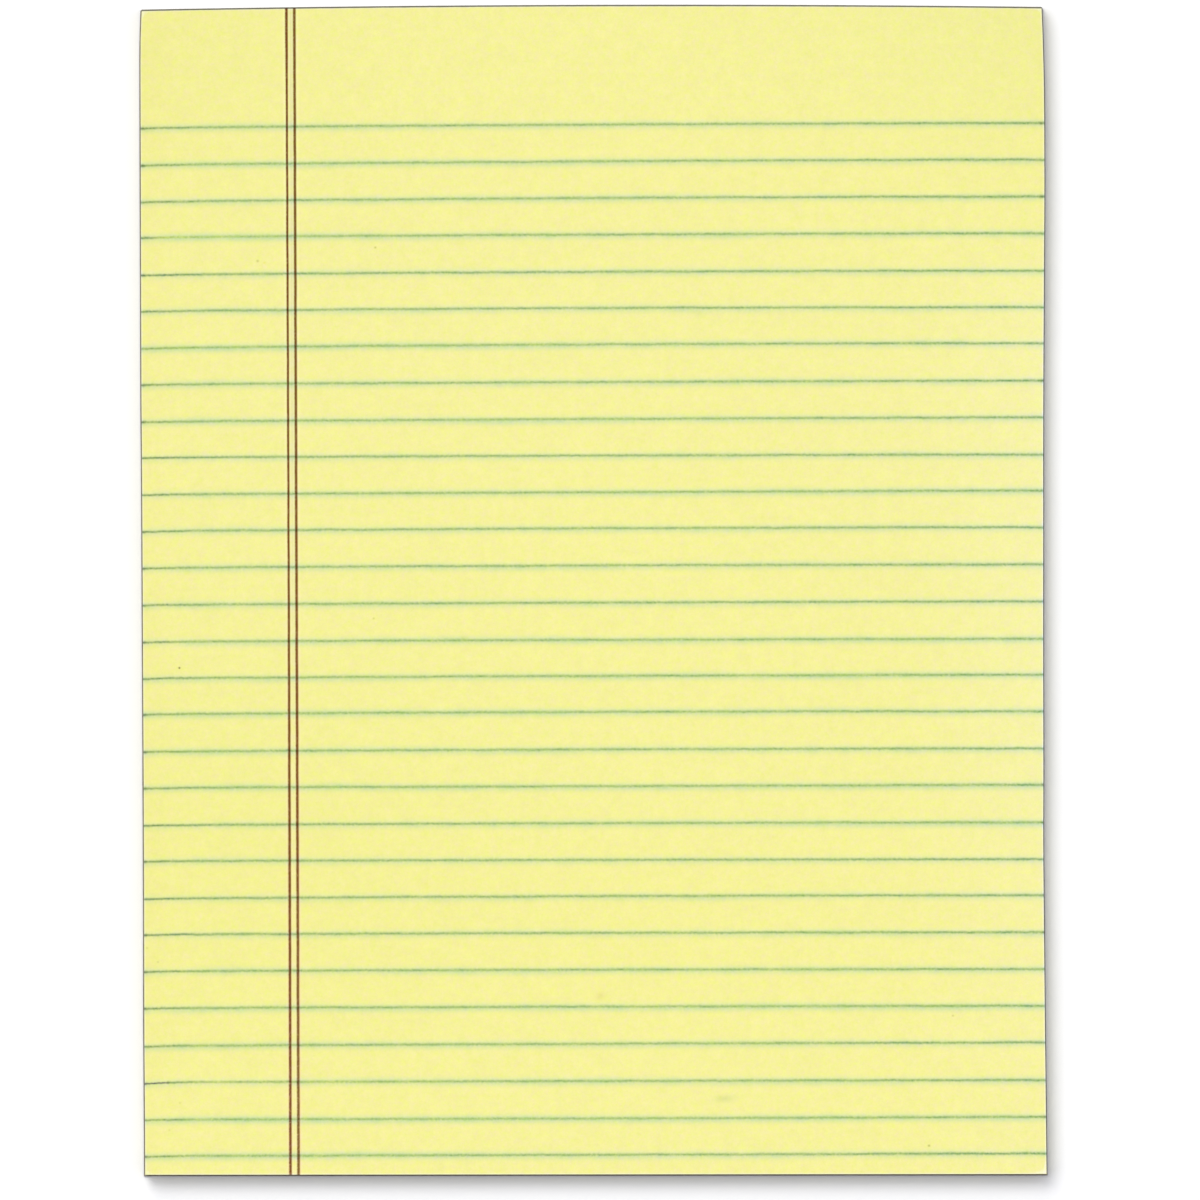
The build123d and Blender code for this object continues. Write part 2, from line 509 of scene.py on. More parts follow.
def make_glue_film():
    """The film of dried glue over the head edge: brushed on along the pad, so its outer face is a little uneven."""
    n = 220
    xs = np.linspace(float(left_x(138.8, MARGIN_LEFT)), float(right_x(138.8, MARGIN_RIGHT)), n + 1)
    wide = float(left_x(138.8)) + 0.012, float(right_x(138.8)) - 0.012  # where it covers the board's corners too
    rand = np.random.default_rng(5)
    zs = np.concatenate([[0.0, 0.05, 0.12], np.linspace(0.25, 4.45, 22), [4.56, 4.64, 4.70, 4.74, 4.76]])
    waves = []
    for _ in range(16):
        waves.append((rand.uniform(0.006, 0.09), rand.uniform(0.4, 5.2), rand.random() * 6.28, rand.uniform(0.2, 1.0)))

    def body(x, z):
        w = sum(a * math.sin(2 * math.pi * (fx * x + 0.0) * 0.5 + fz * z + p) for fx, fz, p, a in waves)
        return w / 4.0

    cols = []
    for c, x0 in enumerate(xs):
        lift = float(top_z(x0, head_y(x0))) - 4.805  # the lip follows the leaves
        col = []
        for k, z in enumerate(zs):
            foot = max(0.0, min(1.0, (0.80 - z) / 0.25))
            x = x0 + ((wide[0] - x0) if c == 0 else (wide[1] - x0) if c == n else 0.0) * foot
            t = GLUE * (0.80 + 0.15 * max(-1.0, min(1.0, body(x, z))))
            if k < 3:
                t *= (0.55, 0.82, 0.95)[k]
            # the brush left a fuller bead along the top
            bead = max(0.0, min(1.0, (z - 4.2) / 0.3))
            t += (GLUE * 0.985 - t) * bead
            if z > 4.7:
                t *= 1 - 0.16 * ((z - 4.7) / (zs[-1] - 4.7)) ** 2
            t = min(t, GLUE - 0.001)
            nudge = 0.02 * math.sin(x * 0.21) + 0.015 * math.sin(x * 0.073 + 1.3)
            zz = z if z < 4.4 else z + (lift + nudge) * (z - 4.4) / (zs[-1] - 4.4)
            col.append((x, float(head_y(x)) + t, zz))
        cols.append(col)
    nz = len(zs)
    verts, faces, lip, maps = [], [], [], []
    for col in cols:
        verts += col
        verts.append((col[-1][0], float(head_y(col[-1][0])), col[-1][2] - 0.01))  # the lip's inner edge, against the leaves
        verts.append((col[0][0], float(head_y(col[0][0])), 0.0))
    m = nz + 2
    lipness = [max(0.0, (z - 4.60) / 0.10) for z in zs] + [1.4, 0.0]

    def add(ids, uv):
        faces.append(ids)
        for k, at in zip(ids, uv):
            lip.append(lipness[k % m])
            maps.append(at)

    heights = [0.30 + 0.66 * k / (nz - 1) for k in range(nz)] + [0.985]
    for s in range(n):
        u0, u1 = 0.03 + 0.94 * s / n, 0.03 + 0.94 * (s + 1) / n
        a, b = s * m, (s + 1) * m
        for k in range(nz):  # the outer face and the lip
            add((b + k, a + k, a + k + 1, b + k + 1), [(u1, heights[k]), (u0, heights[k]), (u0, heights[k + 1]), (u1, heights[k + 1])])
        add((b + nz, a + nz, a + nz + 1, b + nz + 1), [(u1, 0.16), (u0, 0.16), (u0, 0.26), (u1, 0.26)])  # against the leaves
        add((b + nz + 1, a + nz + 1, a, b), [(u1, 0.05), (u0, 0.05), (u0, 0.13), (u1, 0.13)])  # underneath
    for s, flip, u0 in ((0, False, 0.004), (n, True, 0.98)):
        a = s * m
        ids = [a + nz + 1] + [a + k for k in range(nz)] + [a + nz]
        ids = ids if flip else ids[::-1]
        uv = []
        for i in ids:
            k = i - a
            if k == nz + 1:
                uv.append((u0, 0.30))
            elif k == nz:
                uv.append((u0, 0.96))
            else:
                uv.append((u0 + 0.014, heights[k]))
        add(tuple(ids), uv)
    ob = mesh_object("glue_film", verts, faces, smooth=True)
    corner_values(ob, "lip", lip)
    bake_map(ob, maps)
    return ob


# --- materials ------------------------------------------------------------------------------------
class Shader:
    """A node material, with short calls for the nodes that it's made of."""

    def __init__(self, name):
        self.mat = bpy.data.materials.new(name)
        self.mat.use_nodes = True
        self.nt = self.mat.node_tree
        self.nt.nodes.clear()
        self.out = self.nt.nodes.new("ShaderNodeOutputMaterial")
        self.bsdf = self.nt.nodes.new("ShaderNodeBsdfPrincipled")
        self.nt.links.new(self.bsdf.outputs[0], self.out.inputs[0])
        coords = self.nt.nodes.new("ShaderNodeTexCoord")
        self.mm = self.vscale(coords.outputs["Object"], 1000.0)
        parts = self.nt.nodes.new("ShaderNodeSeparateXYZ")
        self.nt.links.new(self.mm, parts.inputs[0])
        self.x, self.y, self.z = parts.outputs

    def put(self, socket, value):
        if isinstance(value, bpy.types.NodeSocket):
            self.nt.links.new(value, socket)
        elif isinstance(value, tuple) and socket.type == "RGBA":
            socket.default_value = (*value[:3], 1.0)
        else:
            socket.default_value = value

    def math(self, op, a, b=None, c=None, clamp=False):
        n = self.nt.nodes.new("ShaderNodeMath")
        n.operation = op
        n.use_clamp = clamp
        for k, v in enumerate((a, b, c)):
            if v is not None:
                self.put(n.inputs[k], v)
        return n.outputs[0]

    def add(self, *terms):
        out = terms[0]
        for t in terms[1:]:
            out = self.math("ADD", out, t)
        return out

    def mul(self, *terms):
        out = terms[0]
        for t in terms[1:]:
            out = self.math("MULTIPLY", out, t)
        return out

    def sub(self, a, b):
        return self.math("SUBTRACT", a, b)

    def scaled(self, a, by, plus=0.0):
        return self.math("MULTIPLY_ADD", a, by, plus)

    def vscale(self, v, s):
        n = self.nt.nodes.new("ShaderNodeVectorMath")
        n.operation = "SCALE"
        self.put(n.inputs[0], v)
        n.inputs["Scale"].default_value = s
        return n.outputs[0]

    def vec(self, x, y, z=0.0):
        n = self.nt.nodes.new("ShaderNodeCombineXYZ")
        for k, v in enumerate((x, y, z)):
            self.put(n.inputs[k], v)
        return n.outputs[0]

    def attr(self, name):
        n = self.nt.nodes.new("ShaderNodeAttribute")
        n.attribute_name = name
        return n.outputs["Fac"]

    def noise(self, v, scale, detail=2.0, rough=0.5, distort=0.0):
        n = self.nt.nodes.new("ShaderNodeTexNoise")
        self.put(n.inputs["Vector"], v)
        n.inputs["Scale"].default_value = scale
        n.inputs["Detail"].default_value = detail
        n.inputs["Roughness"].default_value = rough
        n.inputs["Distortion"].default_value = distort
        return n.outputs["Fac"]

    def white(self, v):
        n = self.nt.nodes.new("ShaderNodeTexWhiteNoise")
        n.noise_dimensions = "1D"
        self.put(n.inputs["W"], v)
        return n.outputs["Value"]

    def cells(self, v, scale, feature="F1", random=1.0):
        n = self.nt.nodes.new("ShaderNodeTexVoronoi")
        n.feature = feature
        self.put(n.inputs["Vector"], v)
        n.inputs["Scale"].default_value = scale
        n.inputs["Randomness"].default_value = random
        return n

    def ramp(self, a, lo, hi, to_lo=0.0, to_hi=1.0, kind="SMOOTHSTEP"):
        n = self.nt.nodes.new("ShaderNodeMapRange")
        n.interpolation_type = kind
        self.put(n.inputs["Value"], a)
        for key, v in (("From Min", lo), ("From Max", hi), ("To Min", to_lo), ("To Max", to_hi)):
            self.put(n.inputs[key], v)
        return n.outputs[0]

    def bell(self, d, width):
        """exp(-(d / width)^2)"""
        q = self.math("DIVIDE", d, width) if isinstance(width, bpy.types.NodeSocket) else self.scaled(d, 1.0 / width)
        return self.math("EXPONENT", self.scaled(self.mul(q, q), -1.0))

    def slab(self, d, width):
        """exp(-(d / width)^4): nearly flat in the middle, with crisp sides"""
        q = self.scaled(d, 1.0 / width)
        q = self.mul(q, q)
        return self.math("EXPONENT", self.scaled(self.mul(q, q), -1.0))

    def mix(self, f, a, b, kind="MIX"):
        n = self.nt.nodes.new("ShaderNodeMix")
        n.data_type = "RGBA"
        n.blend_type = kind
        n.clamp_factor = True
        self.put(n.inputs[0], f)
        self.put(n.inputs[6], a)
        self.put(n.inputs[7], b)
        return n.outputs[2]

    def tint(self, f, colour, by):
        """colour times by, as strongly as f says"""
        return self.mix(f, colour, by, "MULTIPLY")

    def oval(self, cx, cy, rx, ry, turn=0.0):
        """1 in the middle of a soft oval on the page, and 0 beyond it"""
        if turn:
            c, s = math.cos(math.radians(turn)), math.sin(math.radians(turn))
            p = self.add(self.scaled(self.x, c / rx, -(cx * c + cy * s) / rx), self.scaled(self.y, s / rx))
            q = self.add(self.scaled(self.x, -s / ry, (cx * s - cy * c) / ry), self.scaled(self.y, c / ry))
        else:
            p, q = self.scaled(self.x, 1.0 / rx, -cx / rx), self.scaled(self.y, 1.0 / ry, -cy / ry)
        return self.math("EXPONENT", self.scaled(self.math("MULTIPLY_ADD", q, q, self.mul(p, p)), -1.0))

    def bump(self, height, distance, strength=1.0):
        n = self.nt.nodes.new("ShaderNodeBump")
        self.put(n.inputs["Height"], height)
        n.inputs["Distance"].default_value = distance
        n.inputs["Strength"].default_value = strength
        self.nt.links.new(n.outputs[0], self.bsdf.inputs["Normal"])

    def finish(self, colour, roughness, specular=0.3):
        self.put(self.bsdf.inputs["Base Color"], colour)
        self.put(self.bsdf.inputs["Roughness"], roughness)
        self.bsdf.inputs["Specular IOR Level"].default_value = specular
        return self.mat


PAPER = shown(247.5, 242.6, 155.6)
INK_ROOM = 1.6  # how many times the usual ink a rule can carry


def fuller(r, g, b):
    """The tint of the most ink that a rule can carry, where (r, g, b) is that of the usual amount."""
    return tuple(1.0 - INK_ROOM * (1.0 - v) for v in (r, g, b))


def page_material():
    """The writing face: canary paper, blue-green rules that bled a little, and two red-brown margin lines."""
    s = Shader("canary_page")
    flat = s.vec(s.x, s.y, 0.0)

    # the sheet's colour: soft fields of tone first, with painted shade in the two head corners, then the cloudiness of
    # the pulp
    colour = s.mix(1.0, (1.0, 1.0, 1.0), PAPER, "MULTIPLY")
    right = s.mul(s.ramp(s.x, 69.0, 107.5), s.ramp(s.y, 100.0, 55.0), s.ramp(s.y, -140.0, -85.0, 0.45, 1.0))
    colour = s.tint(right, colour, (1.011, 1.014, 1.165))
    colour = s.tint(s.oval(101.0, -88.0, 20.0, 38.0), colour, (0.996, 0.992, 0.945))
    colour = s.tint(s.oval(68.0, 34.0, 22.0, 40.0), colour, (1.0, 1.0, 1.045))
    colour = s.tint(s.oval(-8.0, 66.0, 62.0, 34.0), colour, (1.0, 1.0, 1.025))
    colour = s.tint(s.oval(14.0, -82.0, 40.0, 22.0), colour, (1.0, 1.0, 0.965))
    colour = s.tint(s.ramp(s.y, -10.0, -125.0), colour, (1.013, 1.009, 1.0))
    colour = s.tint(s.oval(-84.0, -66.0, 60.0, 52.0), colour, (0.985, 0.99, 0.925))
    # painted shade: the head's left corner is darker
    colour = s.tint(s.oval(-108.0, 138.0, 46.0, 40.0), colour, (0.973, 0.976, 0.932))
    colour = s.tint(s.oval(0.0, 2.0, 62.0, 56.0), colour, (1.009, 1.008, 1.0))
    # painted shade: the head's right corner is darker
    colour = s.tint(s.oval(108.0, 138.0, 46.0, 36.0), colour, (0.962, 0.975, 0.955))
    colour = s.tint(s.ramp(s.x, -98.0, -107.4), colour, (0.992, 0.988, 0.972))
    cloud = s.noise(flat, 0.56, 3.0, 0.85, 0.2)
    mist = s.noise(s.vec(s.scaled(s.x, 1.0, 31.0), s.y, 5.0), 0.30, 3.0, 1.0)
    warm = s.noise(s.vec(s.x, s.scaled(s.y, 1.0, 57.0), 2.0), 0.42, 3.0, 0.9)
    pale, pink, red = s.scaled(mist, 1.0, -0.5), s.scaled(cloud, 1.0, -0.5), s.scaled(warm, 1.0, -0.5)
    pinker = s.ramp(cloud, 0.58, 0.76)
    colour = s.tint(1.0, colour, s.vec(
        s.add(s.scaled(pale, 0.155, 1.0), s.scaled(pink, 0.095), s.scaled(red, 0.05)),
        s.add(s.scaled(pale, 0.155, 1.0), s.scaled(pink, -0.10), s.scaled(red, -0.05)),
        s.add(s.scaled(pale, 0.16, 0.994), s.scaled(pink, 1.10), s.scaled(pinker, 0.04)),
    ))

    # the rules
    d, n = s.attr("rule_d"), s.attr("rule_n")
    along = s.vec(s.x, s.mul(n, 7.31), 0.0)
    wander = s.add(
        s.scaled(s.noise(along, 0.85, 2.0, 0.7), 0.26, -0.13),
        s.scaled(s.noise(s.vec(s.scaled(s.x, 0.12), s.mul(n, 4.3), 11.0), 1.0, 1.0, 0.5), 0.26, -0.13),
    )
    grain = s.scaled(s.noise(s.vec(s.scaled(s.x, 1.7), s.add(s.scaled(s.y, 1.9), n), 9.0), 1.0, 2.0, 0.7), 1.0, -0.5)
    dd = s.add(d, wander)
    near_left = s.ramp(s.x, -90.0, -106.5)
    # the 27th starts as a thin dark stroke
    stroke = s.mul(s.math("COMPARE", n, 26.0, 0.1), s.ramp(s.x, -101.0, -102.2))
    long_waves = s.noise(s.vec(s.scaled(s.x, 0.045), s.mul(n, 3.7), 4.0), 1.0, 2.0, 0.6)
    ebb = s.scaled(s.noise(s.vec(s.scaled(s.x, 0.25), s.mul(n, 5.1), 2.0), 1.0, 3.0, 0.7), 1.2, -0.6)
    strength = s.add(
        0.93,
        ebb,
        s.mul(grain, 1.5),
        s.scaled(long_waves, 0.55, -0.275),
        s.attr("line"),
        s.mul(near_left, 0.17),
        s.ramp(s.x, -62.0, -90.0, 0.0, 0.03),
        s.ramp(s.x, 58.0, 84.0, 0.0, 0.06),
        s.ramp(s.x, 88.0, 106.0, 0.0, 0.04),
        s.mul(stroke, 0.09),
    )
    width = s.add(0.315, s.scaled(long_waves, -0.10, 0.05), s.mul(grain, 0.12), s.mul(near_left, -0.05), s.mul(stroke, -0.05))
    pressed = s.bell(dd, width)
    core = s.mul(pressed, strength, 1.0 / INK_ROOM)
    lean = s.scaled(s.noise(s.vec(s.scaled(s.x, 0.03), s.mul(n, 11.7), 6.0), 1.0, 2.0, 0.6), 0.9, -0.45)
    bled = s.bell(s.add(d, 0.14, lean), 0.95)
    halo = s.mul(
        bled,
        s.add(
            0.97,
            s.scaled(s.noise(s.vec(s.scaled(s.x, 0.22), s.mul(n, 1.9), 8.0), 1.0, 3.0, 0.65), 1.3, -0.65),
            s.mul(grain, 0.9),
            s.scaled(long_waves, -0.55, 0.275),
            s.attr("bleed"),
            s.mul(near_left, -0.20),
            s.ramp(s.x, -102.5, -106.5, 0.0, 0.06),
        ),
        1.0 / INK_ROOM,
    )
    colour = s.tint(halo, colour, fuller(0.745, 0.893, 1.0))
    # the ink's blue is nearly even along a rule: mostly its red and green follow how wet the wheel ran
    even = s.scaled(grain, 0.9, 0.97)
    colour = s.tint(s.mul(bled, s.add(even, s.mul(near_left, -0.20)), 1.0 / INK_ROOM), colour, fuller(1.0, 1.0, 1.165))
    colour = s.tint(s.bell(s.scaled(d, 1.0, -0.66), 0.42), colour, (1.0, 1.014, 1.06))
    ink = s.mix(near_left, fuller(0.525, 0.637, 1.0), fuller(0.475, 0.557, 1.0))
    ink = s.mix(s.ramp(s.x, 30.0, 98.0), ink, fuller(0.475, 0.60, 1.0))
    ink = s.mix(stroke, ink, fuller(0.40, 0.40, 1.0))
    colour = s.tint(core, colour, ink)
    blue = s.mix(s.ramp(s.x, 30.0, 98.0), fuller(1.0, 1.0, 0.445), fuller(1.0, 1.0, 0.385))
    colour = s.tint(s.mul(pressed, s.add(even, s.mul(grain, 0.7), s.mul(ebb, 0.3), s.mul(near_left, 0.17)), 1.0 / INK_ROOM), colour, blue)
    # a darker dot where some rules run off the sheet, darkest at the second rule
    ends = s.add(s.mul(s.bell(s.add(s.x, 107.15), 0.45), s.math("COMPARE", n, 1.0, 0.1), 1.3),
                 s.mul(s.bell(s.add(s.x, 107.1), 0.5), s.math("GREATER_THAN", s.white(s.scaled(n, 3.3, 1.1)), 0.45)),
                 s.mul(s.bell(s.scaled(s.x, 1.0, -106.9), 0.5), s.math("GREATER_THAN", s.white(s.scaled(n, 2.9, 4.1)), 0.7)))
    colour = s.tint(s.mul(ends, s.bell(dd, 0.38), 0.75), colour, (0.52, 0.52, 0.50))

    # the two margin lines, redder towards the free edge, where the wheel ran drier
    y2 = s.mul(s.y, s.y)
    for k, (x0, lean_x, curve) in enumerate(((-72.595, -0.00057, -3.6e-6), (-70.737, -0.00075, -1.6e-6))):
        at = s.add(
            s.x, s.scaled(s.y, -lean_x, -x0), s.scaled(y2, -curve),
            s.scaled(s.noise(s.vec(s.scaled(s.y, 0.10), 3.0 + 9.0 * k, 0.0), 1.0, 2.0, 0.5), 0.16, -0.08),
            s.mul(grain, 0.10),
        )
        press = s.add(1.0, s.scaled(s.noise(s.vec(s.scaled(s.y, 0.45), 5.0 + 4.0 * k, 1.0), 1.0, 2.0, 0.6), 0.30, -0.15), s.mul(grain, s.ramp(s.y, -50.0, -120.0, 0.5, 1.1)))
        broad = s.add(s.ramp(s.y, 20.0, -60.0, 0.285, 0.34), s.ramp(s.y, 117.0, 134.0, 0.0, 0.075)) if k == 0 else s.ramp(s.y, 122.0, 136.0, 0.345, 0.365)
        line = s.mul(s.slab(s.math("DIVIDE", at, broad), 1.0), press)
        red = s.mix(s.ramp(s.y, 90.0, -60.0), ((0.190, 0.058, 0.017), (0.205, 0.091, 0.029))[k], ((0.214, 0.100, 0.024), (0.233, 0.094, 0.038))[k])
        red = s.mix(s.ramp(s.y, -40.0, -125.0), red, ((0.229, 0.096, 0.064), (0.243, 0.166, 0.090))[k])
        ring = s.bell(s.scaled(s.math("ABSOLUTE", at), 1.0, -0.64), 0.22)
        colour = s.tint(ring, colour, (1.045, 1.032, 1.25))
        smear = s.mul(s.bell(s.add(at, (0.06, -0.12)[k]), 0.50), s.ramp(s.y, 105.0, -115.0))
        colour = s.tint(smear, colour, (1.0, 0.77, 0.90))
        colour = s.tint(line, colour, red)
    between = s.bell(s.add(s.x, s.scaled(s.y, 0.0006, 71.60)), 0.50)
    colour = s.tint(between, colour, s.mix(s.ramp(s.y, 60.0, -60.0), (0.89, 0.90, 0.99), (0.985, 0.985, 1.0)))

    # specks in the pulp and a few faint smudges
    for cx, cy, r, c in (
        (-79.78, 78.71, 0.32, (0.72, 0.72, 0.58)), (-78.13, 78.26, 0.32, (0.93, 0.95, 0.52)), (-51.75, 81.83, 0.25, (0.67, 0.70, 0.42)),
        (-103.99, -88.12, 0.24, (0.80, 0.80, 0.70)), (-101.42, -128.18, 0.28, (0.90, 0.87, 0.85)), (85.24, -101.46, 0.23, (0.78, 0.78, 0.58)),
        (79.46, -132.41, 0.27, (0.58, 0.60, 0.42)), (-52.41, -6.47, 0.25, (0.78, 0.79, 0.66)), (-98.69, -18.12, 0.23, (0.10, 0.10, 0.04)),
        (-98.85, -121.7, 0.28, (0.90, 0.89, 0.82)), (-106.6, -84.8, 0.24, (0.83, 0.82, 0.78)), (-101.7, -116.7, 0.28, (0.55, 0.60, 0.52)),
    ):
        colour = s.tint(s.oval(cx, cy, r, r * 0.9), colour, c)
    for cx, cy, rx, ry, turn, c in (
        (1.26, -96.52, 1.3, 1.0, 20, (0.93, 0.91, 0.84)), (30.75, -121.08, 2.6, 0.9, 4, (0.845, 0.885, 0.91)), (-30.85, -11.33, 1.4, 0.9, 0, (0.92, 0.94, 0.88)),
        (25.41, 65.72, 1.3, 0.9, 0, (0.93, 0.955, 0.88)), (-64.95, 112.03, 2.2, 1.1, -25, (0.965, 1.0, 0.985)), (96.38, 82.98, 1.2, 1.0, 0, (0.97, 0.97, 0.915)),
    ):
        colour = s.tint(s.oval(cx, cy, rx, ry, turn), colour, c)

    # the cut edge catches the light
    rim = s.attr("rim")
    colour = s.tint(s.mul(s.ramp(s.x, 104.6, 107.3), s.ramp(s.y, 78.0, 55.0), s.ramp(s.y, -100.0, -70.0)), colour, (1.0, 1.01, 1.06))
    colour = s.tint(s.ramp(rim, 0.40, 0.08), colour, s.mix(s.ramp(s.x, 100.0, 107.0), (1.03, 1.06, 1.62), (1.06, 1.075, 1.70)))
    colour = s.tint(s.ramp(rim, 0.85, 0.3), colour, (1.0, 1.0, 1.05))
    # and a thread of glue crept over the head edge
    from_head = s.add(s.scaled(s.mul(s.x, s.x), -0.5 / R_IN, CROWN_Y - GLUE), s.scaled(s.y, -1.0), s.scaled(s.noise(s.vec(s.scaled(s.x, 0.35), 0.0, 0.0), 1.0, 2.0, 0.6), 0.16, -0.08))
    colour = s.tint(s.ramp(from_head, 0.16, 0.06), colour, (0.40, 0.41, 0.50))

    tooth = s.noise(s.vec(s.scaled(s.x, 3.1), s.scaled(s.y, 3.6), 0.0), 1.0, 2.0, 0.6)
    s.bump(s.add(s.mul(tooth, 0.6), s.mul(cloud, 0.8)), 0.000012)
    return s.finish(colour, s.ramp(cloud, 0.3, 0.7, 0.74, 0.84, "LINEAR"), 0.2)


def leaf_edges_material():
    """The cut edges of the leaves: fine lines along the pad, painted shade in the grooves between leaves, each leaf a
    shade of its own, and the ends of the rules as small ticks.
    """
    s = Shader("canary_leaf_edges")
    groove, leaf = s.attr("groove"), s.attr("leaf")
    tone = s.white(s.scaled(leaf, 1.37, 0.7))
    colour = s.mix(tone, (0.64, 0.605, 0.29), (0.76, 0.725, 0.365))
    streak = s.noise(s.vec(s.scaled(s.x, 0.06), s.scaled(s.y, 0.06), s.scaled(s.z, 14.0)), 1.0, 3.0, 0.65)
    colour = s.mix(s.ramp(streak, 0.32, 0.68), s.tint(1.0, colour, (0.90, 0.89, 0.82)), s.tint(1.0, colour, (1.05, 1.05, 1.12)))
    fluff = s.noise(s.vec(s.scaled(s.x, 1.3), s.scaled(s.y, 1.3), s.scaled(s.z, 9.0)), 1.0, 2.0, 0.7)
    colour = s.mix(s.ramp(fluff, 0.3, 0.7), s.tint(1.0, colour, (0.93, 0.93, 0.90)), colour)

    on_side = s.ramp(s.math("ABSOLUTE", s.x), 106.0, 106.6)
    jitter = s.scaled(s.white(s.scaled(leaf, 2.11, 5.3)), 0.46, -0.23)
    pitch = (RULE_Y[0] - RULE_Y[28]) / 28
    rel = s.scaled(s.add(s.y, jitter), 1.0 / pitch, -(RULE_Y[28] - 0.25) / pitch + 0.5)
    off = s.mul(s.math("ABSOLUTE", s.scaled(s.math("FRACT", rel), 1.0, -0.5)), pitch)
    inside = s.mul(s.ramp(s.y, 112.0, 113.0, 1.0, 0.0), on_side)
    tick = s.mul(s.ramp(off, 0.42, 0.16), inside, s.ramp(s.white(s.scaled(leaf, 0.71, 2.0)), 0.0, 1.0, 0.35, 1.0, "LINEAR"))
    colour = s.tint(tick, colour, (0.50, 0.70, 0.80))
    on_end = s.ramp(s.math("ABSOLUTE", s.y), 138.2, 138.8)
    for x0 in (-72.7, -70.8):
        red = s.mul(s.ramp(s.math("ABSOLUTE", s.add(s.x, s.mul(jitter, 0.6), -x0)), 0.36, 0.14), on_end)
        colour = s.tint(s.mul(red, 0.8), colour, (0.62, 0.36, 0.36))
    # painted shade darkens the grooves between the leaves and the joints with the board and the top leaf
    colour = s.tint(s.ramp(groove, 0.35, 1.0), colour, (0.55, 0.52, 0.42))
    s.bump(fluff, 0.00001, 0.6)
    return s.finish(colour, s.ramp(fluff, 0.3, 0.7, 0.80, 0.92, "LINEAR"), 0.15)


def chipboard_material():
    """Grey-brown board made of waste paper: cloudy, with short fibres and darker and paler flecks, layers in its cut
    edge, and dust and painted shade on the cut edge and the strip past the leaves.
    """
    s = Shader("chipboard")
    cloud = s.noise(s.mm, 0.06, 3.0, 0.6)
    colour = s.mix(s.ramp(cloud, 0.3, 0.7), (0.285, 0.255, 0.195), (0.335, 0.300, 0.235))
    # dust and painted shade darken the cut edge and the strip past the leaves: less on the left side, and least along
    # the free edge, where the pad's shadow already falls
    edge_dust_and_shade = s.mix(s.ramp(s.x, -106.8, -107.2), (0.69, 0.70, 0.71), (0.80, 0.81, 0.82))
    edge_dust_and_shade = s.mix(s.ramp(s.y, -138.6, -138.9), edge_dust_and_shade, (0.90, 0.91, 0.92))
    colour = s.tint(s.ramp(s.z, 0.01, 0.06), colour, edge_dust_and_shade)
    along = s.vec(s.scaled(s.x, 0.9), s.scaled(s.y, 0.16), s.scaled(s.z, 6.0))
    fibre = s.noise(along, 1.6, 4.0, 0.7, 0.6)
    colour = s.mix(s.ramp(fibre, 0.32, 0.68), s.tint(1.0, colour, (0.86, 0.86, 0.86)), s.tint(1.0, colour, (1.13, 1.13, 1.14)))
    fine = s.noise(s.mm, 3.2, 2.0, 0.7)
    colour = s.mix(s.ramp(fine, 0.3, 0.7), s.tint(1.0, colour, (0.91, 0.91, 0.90)), s.tint(1.0, colour, (1.07, 1.07, 1.07)))
    for scale, limit, c, seed in ((0.55, 0.16, (0.50, 0.48, 0.46), 0.0), (0.33, 0.14, (1.55, 1.52, 1.45), 40.0), (1.3, 0.15, (0.62, 0.60, 0.58), 80.0)):
        warped = s.vec(s.add(s.scaled(s.x, 1.0, seed), s.scaled(fibre, 1.6)), s.add(s.scaled(s.y, 0.42), s.scaled(fine, 0.7)), s.z)
        cell = s.cells(warped, scale)
        chosen = s.ramp(s.white(cell.outputs["Color"]), 0.55, 0.75)
        fleck = s.mul(s.ramp(cell.outputs["Distance"], limit, limit * 0.45), chosen)
        colour = s.tint(s.mul(fleck, 0.75), colour, c)
    on_edge = s.mul(s.ramp(s.z, 0.02, 0.05), s.ramp(s.z, 0.585, 0.56))
    layers = s.noise(s.vec(s.scaled(s.x, 0.25), s.scaled(s.y, 0.25), s.scaled(s.z, 22.0)), 1.0, 2.0, 0.6)
    colour = s.tint(s.mul(on_edge, s.ramp(layers, 0.38, 0.62)), colour, (0.84, 0.83, 0.80))
    s.bump(s.add(s.mul(fibre, 0.8), fine), 0.00003, 0.8)
    return s.finish(colour, s.ramp(fibre, 0.3, 0.7, 0.82, 0.94, "LINEAR"), 0.15)


